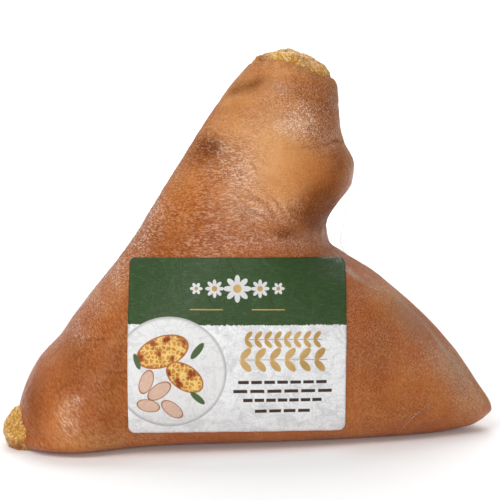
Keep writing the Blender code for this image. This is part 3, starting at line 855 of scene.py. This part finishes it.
class HAM_OT_body(bpy.types.Operator):
    """Builds the ham: skin, rim, cut fat on the shank and the cut face below"""

    bl_idname = "ham.body"
    bl_label = "Ham"

    def execute(self, context):
        settings = context.scene.ham
        around = settings.around
        skin = self.skin(around, settings.rows)
        rim = skin[-1]
        centre = rim.mean(axis=0)
        lip, dome = self.shank_end(rim, centre)
        outline = skin[0]
        middle = outline.mean(axis=0)
        shares = np.linspace(0.0, 1.0, CUT_RINGS + 1)[1:-1]
        cut = np.array([middle + (outline - middle) * share for share in shares])
        rows = np.concatenate([cut, skin, lip, dome])
        points = np.concatenate([rows.reshape(-1, 3), [middle], [centre + (0, 0, DOME_RISE)]]) + SHIFT
        faces = grid_faces(len(rows), around, closed=True)
        bottom, crown = len(points) - 2, len(points) - 1
        last = (len(rows) - 1) * around
        faces += [(bottom, (i + 1) % around, i) for i in range(around)]
        faces += [(last + i, last + (i + 1) % around, crown) for i in range(around)]
        body = mesh_object("ham_meat", points, faces)

        # The materials by number, where the lip's last rows are fat
        of_skin, of_fat, of_cut = range(3)
        above_skin = len(cut) + len(skin)
        first_fat = above_skin + len(lip) - 2
        kinds = [of_fat] * (len(rows) - 1)
        kinds[:first_fat] = [of_skin] * first_fat
        kinds[: len(cut)] = [of_cut] * len(cut)
        slots = [kind for kind in (*kinds, of_cut, of_fat) for _ in range(around)]
        body.data.polygons.foreach_set("material_index", slots)

        all_normals = grid_normals(rows)
        inset = np.ones(rows.shape[:2])
        inset[: len(cut)] = shares[:, None]
        rim_mask = np.zeros(rows.shape[:2])
        rim_mask[len(cut) : above_skin] = smooth_step(skin[..., 2] - rim[None, :, 2], -8 * MM, -1 * MM)
        rim_mask[above_skin:] = 1.0
        seen = rows + SHIFT
        _, tone = strokes(seen, all_normals)
        masks = {name: blots(seen, all_normals, table) for name, table in BLOTS.items()}
        # The creases' painted shade darkens the skin, and the film's sheen on the ridges is painted into its
        # colour
        masks["dark"] += np.maximum(-tone, 0)
        masks.update(lined=np.maximum(tone, 0), inset=inset, rim=rim_mask)
        for name, values in masks.items():
            ends = (0.0, 1.0) if name == "rim" else (0.0, 0.0)
            add_attribute(body, name, np.concatenate([values.ravel(), ends]))
        for made in (skin_material(settings), fat_material(settings), cut_material(settings)):
            body.data.materials.append(made)
        settle(body, "ham_in_bag")
        return {"FINISHED"}

    def skin(self, around, count):
        """Rows of the skin with its creases and lumps, clear of the floor, and frayed along the rim."""
        grid = skin_grid(around, count)
        normals = grid_normals(grid)
        lift = smooth_step(grid[..., 2], 0.0, 4 * MM)
        rise, _ = strokes(grid + SHIFT, normals)
        skin = grid + normals * ((relief(grid) + rise * MM) * lift)[..., None]
        skin[0, :, 2] = FLOOR_GAP
        skin[:, :, 2] = np.maximum(skin[:, :, 2], FLOOR_GAP)
        frayed = RIM_FRAY * noise_at(skin[-1], 6 * MM, 5.0)
        top_rows = smooth_step(np.linspace(0, 1, count), 0.93, 1.0)[:, None]
        skin[:, :, 2] += top_rows * frayed[None, :]
        return skin

    def shank_end(self, rim, centre):
        """Rows of the lip that the rim turns in, and of the craggy fat that domes over the shank."""
        radius = np.linalg.norm(rim - centre, axis=1, keepdims=True)
        lip = []
        for inset, rise in LIP_PROFILE:
            row = centre + (rim - centre) * (1 - inset * MM / radius)
            row[:, 2] += rise * MM
            lip.append(row)
        inset, rise = LIP_PROFILE[-1]
        start = (rim - centre) * (1 - inset * MM / radius)
        dome = []
        for t in np.linspace(0, 1, DOME_RINGS + 1)[1:-1]:
            ring = centre + start * math.cos(t * math.pi / 2) ** (2 / DOME_SQUARE)
            tilt = 1 + DOME_TILT * np.minimum(ring[:, 0] - centre[0], 0) / WIDTH
            ring[:, 2] += rise * MM * (1 - t) ** 4
            ring[:, 2] += tilt * DOME_RISE * math.sin(t * math.pi / 2) ** (2 / DOME_SQUARE)
            dome.append(ring)
        dome = np.array(dome)
        dome += grid_normals(dome) * (MM * lumpy(dome, DOME_CRAGS))[..., None]
        return lip, dome


def skin_material(settings):
    """Cooked pork skin: amber, lighter on the shank, with a fine worn grain; brown in the hollows, partly as
    painted shade, with painted light, sheen and glints.
    """
    made, s, shader = new_material("cooked_skin", 0.42)
    place = s.place()
    mottle = once("uneven_tone", build_mottle)
    tone = s.group(mottle, Place=place, Cloud_Size=0.045, Strength=0.9)["Tone"]
    drawn_up = s.stretched(place, (1.0, 1.0, 0.6))
    blush = s.group(mottle, Place=drawn_up, Cloud_Size=0.014, Strength=0.9)["Tone"]
    up = s.split(place)[2]
    paler_above = s.ramp(up, 0.09, 0.19, 0.05, 0.35)
    # The light blots paint light on the skin where it falls brightest
    light = s.attribute("light") * 0.85 + paler_above
    light = (light + (tone + blush * 0.4)).clamped()
    base = s.blend(light, settings.skin_amber, settings.skin_pale)
    base = s.blend(s.attribute("orange") * 0.45, base, (0.56, 0.155, 0.012))

    grain = s.group(once("slanted_grain", build_slanted_grain), Place=place, Grain_Size=settings.grain)
    grainy = 1.0 - s.attribute("bare") * 0.75
    patchy = s.ramp(s.noise(place, 70.0, 3.0), 0.3, 0.7, 0.55, 1.0)
    grainy = grainy * patchy
    rough = s.attribute("rough")
    deep = s.ramp(light, 0.2, 1.0, 0.90, 0.45) + rough * 0.6
    deep = (grainy * deep).clamped()
    base = s.blend(grain["Furrow"] * deep, base, (0.25, 0.056, 0.006))
    pores = s.ramp(s.cells(place, PORES_PER_METRE), 0.06, 0.16, 0.55, 0.0)
    pores = pores * s.ramp(s.noise(place, 55.0, 1.0), 0.48, 0.60)
    base = s.blend(pores, base, (0.16, 0.036, 0.006))
    # Painted highlights: pale specks on the grain's crowns, more of them higher up and on rough patches, and
    # a pale wash of painted sheen where the pale blots lie
    pale = s.attribute("pale")
    glint_share = s.ramp(up, 0.06, 0.13, 0.12, 0.28)
    glint_share = glint_share + rough * 0.3
    glint_share = glint_share * (1.0 - s.attribute("orange") * 0.7)
    shine = (pale * 0.85 + grainy * glint_share).clamped()
    base = s.blend(grain["Speck"] * shine, base, (0.88, 0.68, 0.56))
    base = s.blend(pale * 0.14, base, (0.84, 0.62, 0.50))
    # Painted sheen of the film on the ridges
    base = s.blend((s.attribute("lined") * 0.75).clamped(), base, (0.50, 0.35, 0.21))
    # Darker skin from the dark blots and the creases: partly its darker spots, partly painted shade
    stain_and_shade = (s.attribute("dark") + blush * 0.2).clamped()
    kept = 0.88 - grain["Speck"] * 0.25
    base = s.blend(stain_and_shade * kept, base, settings.skin_stain_and_shade)
    rim = s.attribute("rim") * s.ramp(s.noise(place, 240.0, 3.0), 0.35, 0.65)
    base = s.blend((rim * 0.7).clamped(), base, (0.36, 0.13, 0.035))
    s.put(shader["Base Color"], base)
    s.put(shader["Specular IOR Level"], s.ramp(s.attribute("dark"), 0.0, 0.8, 0.22, 0.04))
    s.put(shader["Roughness"], s.ramp(s.noise(place, 180.0, 3.0), 0.3, 0.7, 0.36, 0.55))
    s.put(shader["Normal"], s.bump(grain["Height"] * (grainy + rough), 0.0012, 0.6))
    return made


def fat_material(settings):
    """Cut and rendered fat: warm yellow, crumbly, with dried brown patches."""
    made, s, shader = new_material("cut_fat", 0.5, Specular_IOR_Level=0.15)
    place = s.place()
    tone = s.group(once("uneven_tone", build_mottle), Place=place, Cloud_Size=0.009, Strength=1.3)["Tone"]
    grain = s.group(once("worn_grain", build_grain), Place=place, Grain_Size=0.0013)
    base = s.blend((tone + 0.6).clamped(), (0.56, 0.25, 0.030), settings.fat_colour)
    base = s.blend(grain["Speck"] * 0.75, base, (0.92, 0.75, 0.40))
    base = s.blend(grain["Furrow"] * 0.75, base, (0.50, 0.19, 0.018))
    base = s.blend(s.attribute("membrane") * 0.8, base, (0.62, 0.34, 0.15))
    crisp = s.ramp(s.noise(place, 110.0, 4.0, 0.65), 0.58, 0.68, 0.0, 0.5)
    crisp = (crisp + s.attribute("crust")).clamped()
    base = s.blend(crisp * 0.85, base, (0.30, 0.085, 0.020))
    s.put(shader["Base Color"], base)
    s.put(shader["Roughness"], s.ramp(crisp, 0.0, 1.0, 0.42, 0.62))
    s.put(shader["Normal"], s.bump(grain["Height"], 0.0014, 0.8))
    return made


def cut_material(settings):
    """The cut face: rind and fat round pink meat, with the sawn bone in it."""
    made, s, shader = new_material("cut_meat", 0.4, Specular_IOR_Level=0.5)
    place = s.place()
    inset = s.attribute("inset") + (s.noise(place, 60.0, 3.0) - 0.5) * 0.16
    fibre = s.noise(s.stretched(place, (1.0, 2.6, 1.0)), 210.0, 4.0, 0.6)
    meat = s.blend(fibre, (0.50, 0.17, 0.12), (0.74, 0.36, 0.27))
    seam = s.ramp(abs(s.noise(place, 26.0, 2.0) - 0.5), 0.0, 0.022, 1.0, 0.0)
    meat = s.blend(seam, meat, (0.83, 0.66, 0.50))
    base = s.blend(s.ramp(inset, 0.86, 0.89), meat, (0.86, 0.72, 0.54))
    base = s.blend(s.ramp(s.attribute("inset"), 0.965, 0.975), base, settings.skin_amber)
    bone = s.node("ShaderNodeVectorMath", operation="DISTANCE")
    s.put(bone.inputs[0], place)
    s.put(bone.inputs[1], BONE_CENTRE)
    from_bone = bone.outputs["Value"]
    base = s.blend(s.ramp(from_bone, 0.0155, 0.0165, 1.0, 0.0), base, (0.86, 0.78, 0.62))
    grains = s.noise(place, 900.0, 2.0)
    marrow = s.ramp(from_bone, 0.0105, 0.0115, 1.0, 0.0)
    base = s.blend(marrow, base, s.blend(grains, (0.32, 0.08, 0.05), (0.62, 0.30, 0.2)))
    s.put(shader["Base Color"], base)
    s.put(shader["Normal"], s.bump(fibre, 0.0006, 0.6))
    return made


class HAM_OT_butt_fat(bpy.types.Operator):
    """Builds the lump of fat below the skin's edge at the butt"""

    bl_idname = "ham.butt_fat"
    bl_label = "Fat at the butt"

    def execute(self, context):
        bm = bmesh.new()
        bmesh.ops.create_icosphere(bm, subdivisions=6, radius=1.0)
        out = np.array([v.co.normalized() for v in bm.verts])
        centre = np.array(LUMP_CENTRE) * (WIDTH, DEPTH, HEIGHT)
        points = centre + out * np.array(LUMP_RADII) * (WIDTH, DEPTH, HEIGHT)
        points += out * (MM * lumpy(points, BUTT_CRAGS))[:, None]
        points[:, 2] = np.maximum(points[:, 2], FLOOR_GAP)
        for v, p in zip(bm.verts, points + SHIFT):
            v.co = p
        mesh = bpy.data.meshes.new("butt_fat")
        bm.to_mesh(mesh)
        bm.free()
        lump = linked(mesh)
        mesh.materials.append(bpy.data.materials["cut_fat"])
        add_attribute(lump, "crust", blots(points + SHIFT, out, BLOTS["crust"]))
        settle(lump, "ham_in_bag")
        return {"FINISHED"}


def film_material():
    """Clear film: glossy where it turns away from the eye, greyer on creases, dull where it sticks on the
    fat, and dimmed as painted shade where the skin's dark blots lie.
    """
    made, s, shader = new_material("clear_film", 0.18)
    shader["Metallic"].default_value = 0.9
    s.put(shader["Base Color"], s.blend(s.attribute("tight"), (0.92, 0.92, 0.92), (0.56, 0.48, 0.40)))
    place = s.place()
    grain = s.group(once("slanted_grain", build_slanted_grain), Place=place, Grain_Size=FILM_GRAIN)
    s.put(shader["Normal"], s.bump(grain["Height"], 0.0012, 0.9))
    facing = s.node("ShaderNodeLayerWeight")
    facing.inputs["Blend"].default_value = 0.5
    edge = Term(s, facing.outputs["Facing"]) ** 7.0
    amount = edge * 0.20 + 0.006
    # Less gloss where the film sticks on the fat, and painted shade where the dark blots lie
    amount = amount * s.ramp(s.attribute("stuck_or_shaded"), 0.0, 0.8, 1.0, 0.15)
    amount = (amount + s.attribute("tight") * 0.45).clamped()
    clear = s.node("ShaderNodeBsdfTransparent")
    mixed = s.node("ShaderNodeMixShader")
    nodes = made.node_tree.nodes
    s.put(mixed.inputs[0], amount)
    s.put(mixed.inputs[1], clear.outputs[0])
    s.put(mixed.inputs[2], nodes["Principled BSDF"].outputs[0])
    s.put(nodes["Material Output"].inputs["Surface"], mixed.outputs[0])
    return made


class HAM_OT_bag(bpy.types.Operator):
    """Builds the clear bag: the film drawn over the meat, its web under the knuckle and a scratch"""

    bl_idname = "ham.bag"
    bl_label = "Clear bag"

    def execute(self, context):
        settings = context.scene.bag
        film = film_material()
        meat, lump = bpy.data.objects["ham_meat"], bpy.data.objects["butt_fat"]
        bag = self.drawn_over(context, (meat, lump), settings)
        places = np.array([v.co for v in bag.data.vertices])
        directions = np.array([v.normal for v in bag.data.vertices])
        _, tone = strokes(places, directions)
        add_attribute(bag, "tight", 0.6 * np.maximum(tone, 0))
        # Dull where the film sticks on the fat, and dimmed as painted shade where the skin's dark blots lie
        on_fat = smooth_step(places[:, 2], FAT_STARTS - 4 * MM, FAT_STARTS + 4 * MM)
        add_attribute(bag, "stuck_or_shaded", np.maximum(blots(places, directions, BLOTS["dark"]), on_fat))
        bag.data.materials.append(film)
        settle(bag, "ham_in_bag")

        web = self.web()
        web.data.materials.append(film)
        settle(web, "ham_in_bag")

        scratch = self.scratch(surface_of(bag))
        scratch.data.materials.append(film)
        settle(scratch, "ham_in_bag")
        return {"FINISHED"}

    def drawn_over(self, context, pieces, settings):
        """A closed sheet shrunk over the pieces: it bridges narrow gaps and lies clear of them all."""
        bm = bmesh.new()
        for piece in pieces:
            bm.from_mesh(piece.data)
        mesh = bpy.data.meshes.new("bag_form")
        bm.to_mesh(mesh)
        bm.free()
        form = linked(mesh)
        remesh = form.modifiers.new("remesh", "REMESH")
        remesh.mode = "VOXEL"
        remesh.voxel_size = settings.voxel
        soften = form.modifiers.new("soften", "SMOOTH")
        soften.factor = 0.5
        soften.iterations = 10
        context.view_layer.update()
        evaluated = form.evaluated_get(context.evaluated_depsgraph_get())
        film = bpy.data.meshes.new_from_object(evaluated)
        bpy.data.objects.remove(form)
        film.materials.clear()
        tree = surface_of(*pieces)
        for v in film.vertices:
            near, normal, _, _ = tree.find_nearest(v.co)
            out = (v.co - near).dot(normal)
            if out < settings.gap:
                v.co += normal * (settings.gap - out)
            v.co.z = max(v.co.z, FILM_FLOOR_GAP)
        film.name = "bag_film"
        return linked(film)

    def web(self):
        """The flat web of film between the knuckle and the flank, a little wavy, doubled at its edge."""
        outline = np.array(FILM_OUTLINE)
        run = np.concatenate([[0], np.cumsum(np.linalg.norm(np.diff(outline, axis=0), axis=1))])
        steps = np.linspace(0, 1, WEB_STEPS)
        across, up = smooth_line(run / run[-1], outline, steps)
        up = HEIGHT * up
        rows = []
        for share in np.linspace(0, 1, WEB_ROWS):
            x = WIDTH * across - share * WEB_REACH
            y = FILM_DEPTH * DEPTH + WEB_WAVE * np.sin(up / WEB_WAVE_LENGTH) * (1 - share)
            rows.append(np.column_stack([x, y, up]))
        rows = np.array(rows) + SHIFT
        web = mesh_object("bag_web", rows.reshape(-1, 3), grid_faces(WEB_ROWS, WEB_STEPS))
        tight = np.zeros((WEB_ROWS, WEB_STEPS))
        tight[0] = 1.0
        tight[1] = 0.5
        add_attribute(web, "tight", tight)
        return web

    def scratch(self, tree):
        """A low hairline ridge of film, tapered at both ends."""
        steps = np.linspace(0, 1, SCRATCH_RINGS)
        across, up = smooth_line(np.linspace(0, 1, len(SCRATCH)), SCRATCH, steps)
        hits = [seen_point(tree, x, z) for x, z in zip(across, up)]
        centres = [hit[0] for hit in hits]
        points = []
        for i, (centre, normal) in enumerate(hits):
            ahead = centres[min(i + 1, SCRATCH_RINGS - 1)] - centres[max(i - 1, 0)]
            side = ahead.cross(normal).normalized()
            width = SCRATCH_HALF_WIDTH * MM * math.sin(math.pi * (0.06 + 0.88 * steps[i])) ** 0.6
            for k in range(SCRATCH_SIDES):
                turn = 2 * math.pi * k / SCRATCH_SIDES
                points.append(centre + side * width * math.cos(turn) + normal * 0.6 * width * math.sin(turn))
        faces = grid_faces(SCRATCH_RINGS, SCRATCH_SIDES, closed=True)
        faces.append(tuple(range(SCRATCH_SIDES))[::-1])
        faces.append(tuple(range(len(points) - SCRATCH_SIDES, len(points))))
        line = mesh_object("film_scratch", points, faces)
        add_attribute(line, "tight", [0.6] * len(points))
        return line


class HAM_OT_label(bpy.types.Operator):
    """Builds the creased paper label on the front, with its printed fields"""

    bl_idname = "ham.label"
    bl_label = "Label"

    def execute(self, context):
        settings = context.scene.label
        tree = surface_of(bpy.data.objects["ham_meat"])
        up = Vector((0, math.sin(LABEL_TILT), math.cos(LABEL_TILT)))
        inward = Vector((0, math.cos(LABEL_TILT), -math.sin(LABEL_TILT)))
        corner = Vector((LABEL_MIDDLE[0] - LABEL_WIDTH / 2, 0, LABEL_PLANE_HEIGHT)) + Vector(SHIFT)
        corner += (LABEL_MIDDLE[1] - LABEL_HEIGHT / 2) * up - 2 * DEPTH * inward
        xs = np.linspace(0, LABEL_WIDTH, LABEL_COLUMNS)
        zs = np.linspace(0, LABEL_HEIGHT, LABEL_ROWS)
        hits, uvs = [], []
        for z in zs:
            row = []
            for x in xs:
                px, pz = self.round_corner(float(x), float(z))
                row.append(tree.ray_cast(corner + Vector((px, 0, 0)) + pz * up, inward)[0])
                uvs.append((px / LABEL_WIDTH, pz / LABEL_HEIGHT))
            hits.append(row)
        hits = np.array(hits)
        outward = np.cross(np.gradient(hits, axis=1), np.gradient(hits, axis=0))
        outward /= np.linalg.norm(outward, axis=-1, keepdims=True)
        flat = np.array(uvs).reshape(LABEL_ROWS, LABEL_COLUMNS, 2) * (LABEL_WIDTH, LABEL_HEIGHT)
        spots = np.concatenate([flat, np.zeros((*flat.shape[:2], 1))], axis=-1)
        creases = lumpy(spots, LABEL_CREASES, creased=True)
        rows = hits + outward * (LABEL_LIFT + creases * MM)[..., None]
        paper = mesh_object("paper_label", rows.reshape(-1, 3), grid_faces(LABEL_ROWS, LABEL_COLUMNS))
        layer = paper.data.uv_layers.new(name="print")
        for loop in paper.data.loops:
            layer.data[loop.index].uv = uvs[loop.vertex_index]
        plate = paper.modifiers.new("thickness", "SOLIDIFY")
        plate.thickness = settings.thickness
        plate.offset = -1.0
        paper.data.materials.append(label_material(settings))
        settle(paper, "label")
        return {"FINISHED"}

    def round_corner(self, x, z):
        """Moves a point of the label's square corner to the same place in a round one."""
        cx = min(max(x, LABEL_CORNER), LABEL_WIDTH - LABEL_CORNER)
        cz = min(max(z, LABEL_CORNER), LABEL_HEIGHT - LABEL_CORNER)
        dx, dz = x - cx, z - cz
        if dx and dz:
            shrink = max(abs(dx), abs(dz)) / math.hypot(dx, dz)
            return cx + dx * shrink, cz + dz * shrink
        return x, z


def oval_at(s, spot, centre_x, centre_y, radius_x, radius_y, turn=0.0):
    """An oval of the print, in mm from the label's middle: its mask and each spot's distance and angle."""
    return s.group(
        once("print_oval", build_oval), X=spot[0], Y=spot[1], Centre_X=centre_x, Centre_Y=centre_y,
        Radius_X=radius_x, Radius_Y=radius_y, Turn=turn,
    )


def bar_at(s, spot, centre_x, centre_y, half_width, half_height):
    """Mask of an upright box of the print, in mm from the label's middle."""
    return s.group(
        once("print_bar", build_bar), X=spot[0], Y=spot[1], Centre_X=centre_x, Centre_Y=centre_y,
        Half_Width=half_width, Half_Height=half_height,
    )["Mask"]


def sprig(s, spot, centre_x, centre_y, pairs, pitch, size):
    """Mask of a sprig: a thin stem with a number of pairs of leaves along it."""
    half_width = pairs * pitch / 2
    count = (spot[0] - centre_x) / pitch + (pairs / 2 + COUNT_LEAD)
    along = (s.math("FRACT", count) - 0.5) * pitch
    aside = abs(spot[1] - centre_y)
    leaf = oval_at(s, (along, aside), 0.0, size * 0.62, size * 0.75, size * 0.36, 0.85)["Mask"]
    field = bar_at(s, spot, centre_x, centre_y, half_width, size * 1.5)
    stem = bar_at(s, spot, centre_x, centre_y, half_width, 0.22)
    return field * s.math("MAXIMUM", leaf, stem)


def label_material(settings):
    """Silvery paper: a green band with flowers, a dish of honeycomb, gold sprigs and dark dashes."""
    made, s, shader = new_material("printed_label", 0.45, Specular_IOR_Level=0.3)
    u, v, _ = s.split(s.node("ShaderNodeUVMap", uv_map="print").outputs[0])
    x = (u - 0.5) * (LABEL_WIDTH / MM)
    y = (v - 0.5) * (LABEL_HEIGHT / MM)
    spot = (x, y)
    flat = s.node("ShaderNodeCombineXYZ")
    s.fill(flat, (0, 1), spot)
    flat = flat.outputs[0]
    crinkle = s.group(once("sharp_creases", build_crinkle), Place=flat, Crease_Size=9.0)

    shade = s.noise(s.stretched(flat, (1.0, 1.8, 1.0)), 0.10, 4.0, 0.6, 0.8)
    paper = s.blend(s.ramp(shade, 0.36, 0.56), (0.77, 0.77, 0.78), settings.paper_colour)
    # Painted shade along the creases' lines
    paper = s.blend(crinkle["Line"] * 0.25, paper, (0.45, 0.445, 0.45))
    weave = s.noise(s.drawn_out(flat, (2.2, 0.55, 1.0), (0.0, 0.0, -0.6)), 1.4, 2.0, 0.6)
    paper = s.blend(s.ramp(weave, 0.55, 0.40, 0.0, 0.35), paper, (0.50, 0.495, 0.50))
    dish = oval_at(s, spot, *DISH)
    vein = s.ramp(abs(s.noise(flat, 0.09, 4.0, 0.6, 1.2) - 0.5), 0.0, 0.05, 1.0, 0.0)
    marble = s.blend(vein * 0.35, (0.80, 0.795, 0.79), (0.50, 0.50, 0.51))
    marble = s.blend(s.ramp(dish["Distance"], 0.93, 0.99), marble, (0.50, 0.495, 0.49))
    tear = (s.noise(flat, 0.75, 3.0, 0.7) - 0.5) * 3.0
    band = s.ramp(y - (BAND_EDGE + tear), -0.15, 0.15)
    streaks = s.noise(s.stretched(flat, (0.10, 1.6, 1.0)), 1.6, 3.0, 0.6)
    green = s.blend(s.ramp(streaks, 0.50, 0.75), settings.band_colour, (0.075, 0.130, 0.052))
    base = s.blend(band, paper, green)
    base = s.blend(dish["Mask"], base, marble)

    cell = s.cells(flat, 0.42, "DISTANCE_TO_EDGE", 0.55)
    comb = s.blend(s.ramp(cell, 0.04, 0.22), (0.86, 0.60, 0.20), (0.62, 0.25, 0.025))
    comb = s.blend(s.ramp(s.noise(flat, 0.16, 2.0), 0.45, 0.65), comb, (0.40, 0.10, 0.012), "MULTIPLY")
    for place in COMBS:
        piece = oval_at(s, spot, *place)
        rimmed = s.blend(s.ramp(piece["Distance"], 0.88, 0.96), comb, (0.42, 0.14, 0.03))
        base = s.blend(piece["Mask"], base, rimmed)
    for across, up, length, turn in ALMONDS:
        nut = oval_at(s, spot, across, up, length, length * ALMOND_SLIMNESS, turn)
        shell = s.blend(s.noise(flat, 0.5, 2.0), (0.62, 0.38, 0.27), (0.78, 0.56, 0.44))
        shell = s.blend(s.ramp(nut["Distance"], 0.84, 0.94), shell, (0.34, 0.12, 0.04))
        base = s.blend(nut["Mask"], base, shell)
    for across, up, length, turn in LEAVES:
        leaf = oval_at(s, spot, across, up, length, length * LEAF_SLIMNESS, turn)
        base = s.blend(leaf["Mask"], base, (0.07, 0.12, 0.04))

    sheen = s.ramp(s.noise(flat, 0.05, 2.0), 0.35, 0.65)
    gold = s.blend(sheen, settings.gold_colour, (0.62, 0.40, 0.15))
    for place in SPRIGS:
        base = s.blend(sprig(s, spot, *place), base, gold)
    for across, up, half_width, dash in DASHES:
        row = bar_at(s, spot, across, up, half_width, DASH_HALF_HEIGHT)
        share = s.math("FRACT", (x + (half_width - across)) / dash)
        base = s.blend(row * s.ramp(share, 0.80, 0.84, 1.0, 0.0), base, (0.050, 0.030, 0.018))
    for place in THIN_RULES:
        base = s.blend(bar_at(s, spot, *place), base, gold)
    for across, radius, petals in FLOWERS:
        flower = oval_at(s, spot, across, FLOWER_HEIGHT, radius, radius)
        wave = abs(s.math("COSINE", flower["Angle"] * (petals / 2)))
        edge = 0.45 + wave * 0.5
        shape = s.ramp(flower["Distance"] - edge, -0.02, 0.02, 1.0, 0.0)
        base = s.blend(shape, base, (0.70, 0.70, 0.695))
        base = s.blend(s.ramp(flower["Distance"], 0.27, 0.30, 1.0, 0.0), base, gold)

    s.put(shader["Base Color"], base)
    s.put(shader["Metallic"], s.ramp(band + dish["Mask"], 0.0, 1.0, 0.20, 0.0))
    s.put(shader["Roughness"], s.ramp(crinkle["Line"], 0.0, 1.0, 0.40, 0.28))
    fold = s.bump(crinkle["Height"], 0.0011, 0.75)
    s.put(shader["Normal"], s.bump(streaks + weave, 0.0002, 0.6, fold))
    return made


class HAM_OT_studio(bpy.types.Operator):
    """Sets the plain floor, the soft lights and the camera"""

    bl_idname = "ham.studio"
    bl_label = "Studio"

    def execute(self, context):
        settings = context.scene.studio
        scene = context.scene
        corners = [(x * FLOOR_HALF, y * FLOOR_HALF, 0.0) for x, y in ((-1, -1), (1, -1), (1, 1), (-1, 1))]
        floor = mesh_object("floor", corners, [(0, 1, 2, 3)], smooth=False)
        made, s, shader = new_material(
            "pale_floor", 0.7, Specular_IOR_Level=0.2, Emission_Strength=FLOOR_GLOW,
        )
        paint = s.noise(s.place(), 6.0, 3.0)
        pale = tuple(settings.floor_colour)
        s.put(shader["Base Color"], s.blend(paint, tuple(c * 0.985 for c in pale), pale))
        floor.data.materials.append(made)

        world = bpy.data.worlds.new("studio")
        world.use_nodes = True
        sky = world.node_tree.nodes["Background"].inputs
        sky["Color"].default_value = (1.0, 1.0, 1.0, 1.0)
        sky["Strength"].default_value = settings.sky
        scene.world = world

        aim = Vector((0, 0, AIM_HEIGHT))
        for name, place, target, size, power in (
            ("key", (-0.60, -1.0, 1.20), aim, (0.9, 0.9), settings.key_power),
            ("fill", (0.2, -1.6, 0.5), aim, (0.9, 0.9), settings.fill_power),
            ("ground", (0.0, 2.6, 1.5), (0.0, 2.6, 0.0), (1.4, 4.4), settings.ground_power),
        ):
            light = bpy.data.lights.new(name, "AREA")
            light.shape = "RECTANGLE"
            light.energy = power
            light.size, light.size_y = size
            lamp = bpy.data.objects.new(name, light)
            lamp.location = place
            lamp.rotation_euler = (Vector(target) - Vector(place)).to_track_quat("-Z", "Y").to_euler()
            scene.collection.objects.link(lamp)

        lens = bpy.data.cameras.new("camera")
        lens.sensor_width = SENSOR_WIDTH
        lens.lens = SENSOR_WIDTH * EYE_DISTANCE / FRAME_WIDTH
        camera = bpy.data.objects.new("camera", lens)
        back = Vector((0, -math.cos(EYE_ELEVATION), math.sin(EYE_ELEVATION)))
        camera.location = aim + EYE_DISTANCE * back
        camera.rotation_euler = (-back).to_track_quat("-Z", "Y").to_euler()
        scene.collection.objects.link(camera)
        scene.camera = camera
        scene.view_settings.view_transform = "Standard"
        return {"FINISHED"}


class HAM_PT_panel(bpy.types.Panel):
    """Lists the pieces and their settings"""

    bl_idname = "HAM_PT_panel"
    bl_label = "Half Ham in a Clear Bag"
    bl_space_type = "VIEW_3D"
    bl_region_type = "UI"
    bl_category = "Ham"

    def draw(self, context):
        for operator in OPERATORS:
            self.layout.operator(operator.bl_idname)
        for name, group in SETTINGS:
            box = self.layout.box()
            for key in group.__annotations__:
                box.prop(getattr(context.scene, name), key)


SETTINGS = (("ham", HamSettings), ("bag", BagSettings), ("label", LabelSettings), ("studio", StageSettings))
OPERATORS = (HAM_OT_body, HAM_OT_butt_fat, HAM_OT_bag, HAM_OT_label, HAM_OT_studio)


def register():
    for name, group in SETTINGS:
        bpy.utils.register_class(group)
        setattr(bpy.types.Scene, name, PointerProperty(type=group))
    for operator in OPERATORS:
        bpy.utils.register_class(operator)
    bpy.utils.register_class(HAM_PT_panel)


def unregister():
    bpy.utils.unregister_class(HAM_PT_panel)
    for operator in reversed(OPERATORS):
        bpy.utils.unregister_class(operator)
    for name, group in reversed(SETTINGS):
        delattr(bpy.types.Scene, name)
        bpy.utils.unregister_class(group)


def main():
    register()
    bpy.ops.ham.body()
    bpy.ops.ham.butt_fat()
    bpy.ops.ham.bag()
    bpy.ops.ham.label()
    bpy.ops.ham.studio()


if __name__ == "__main__":
    main()
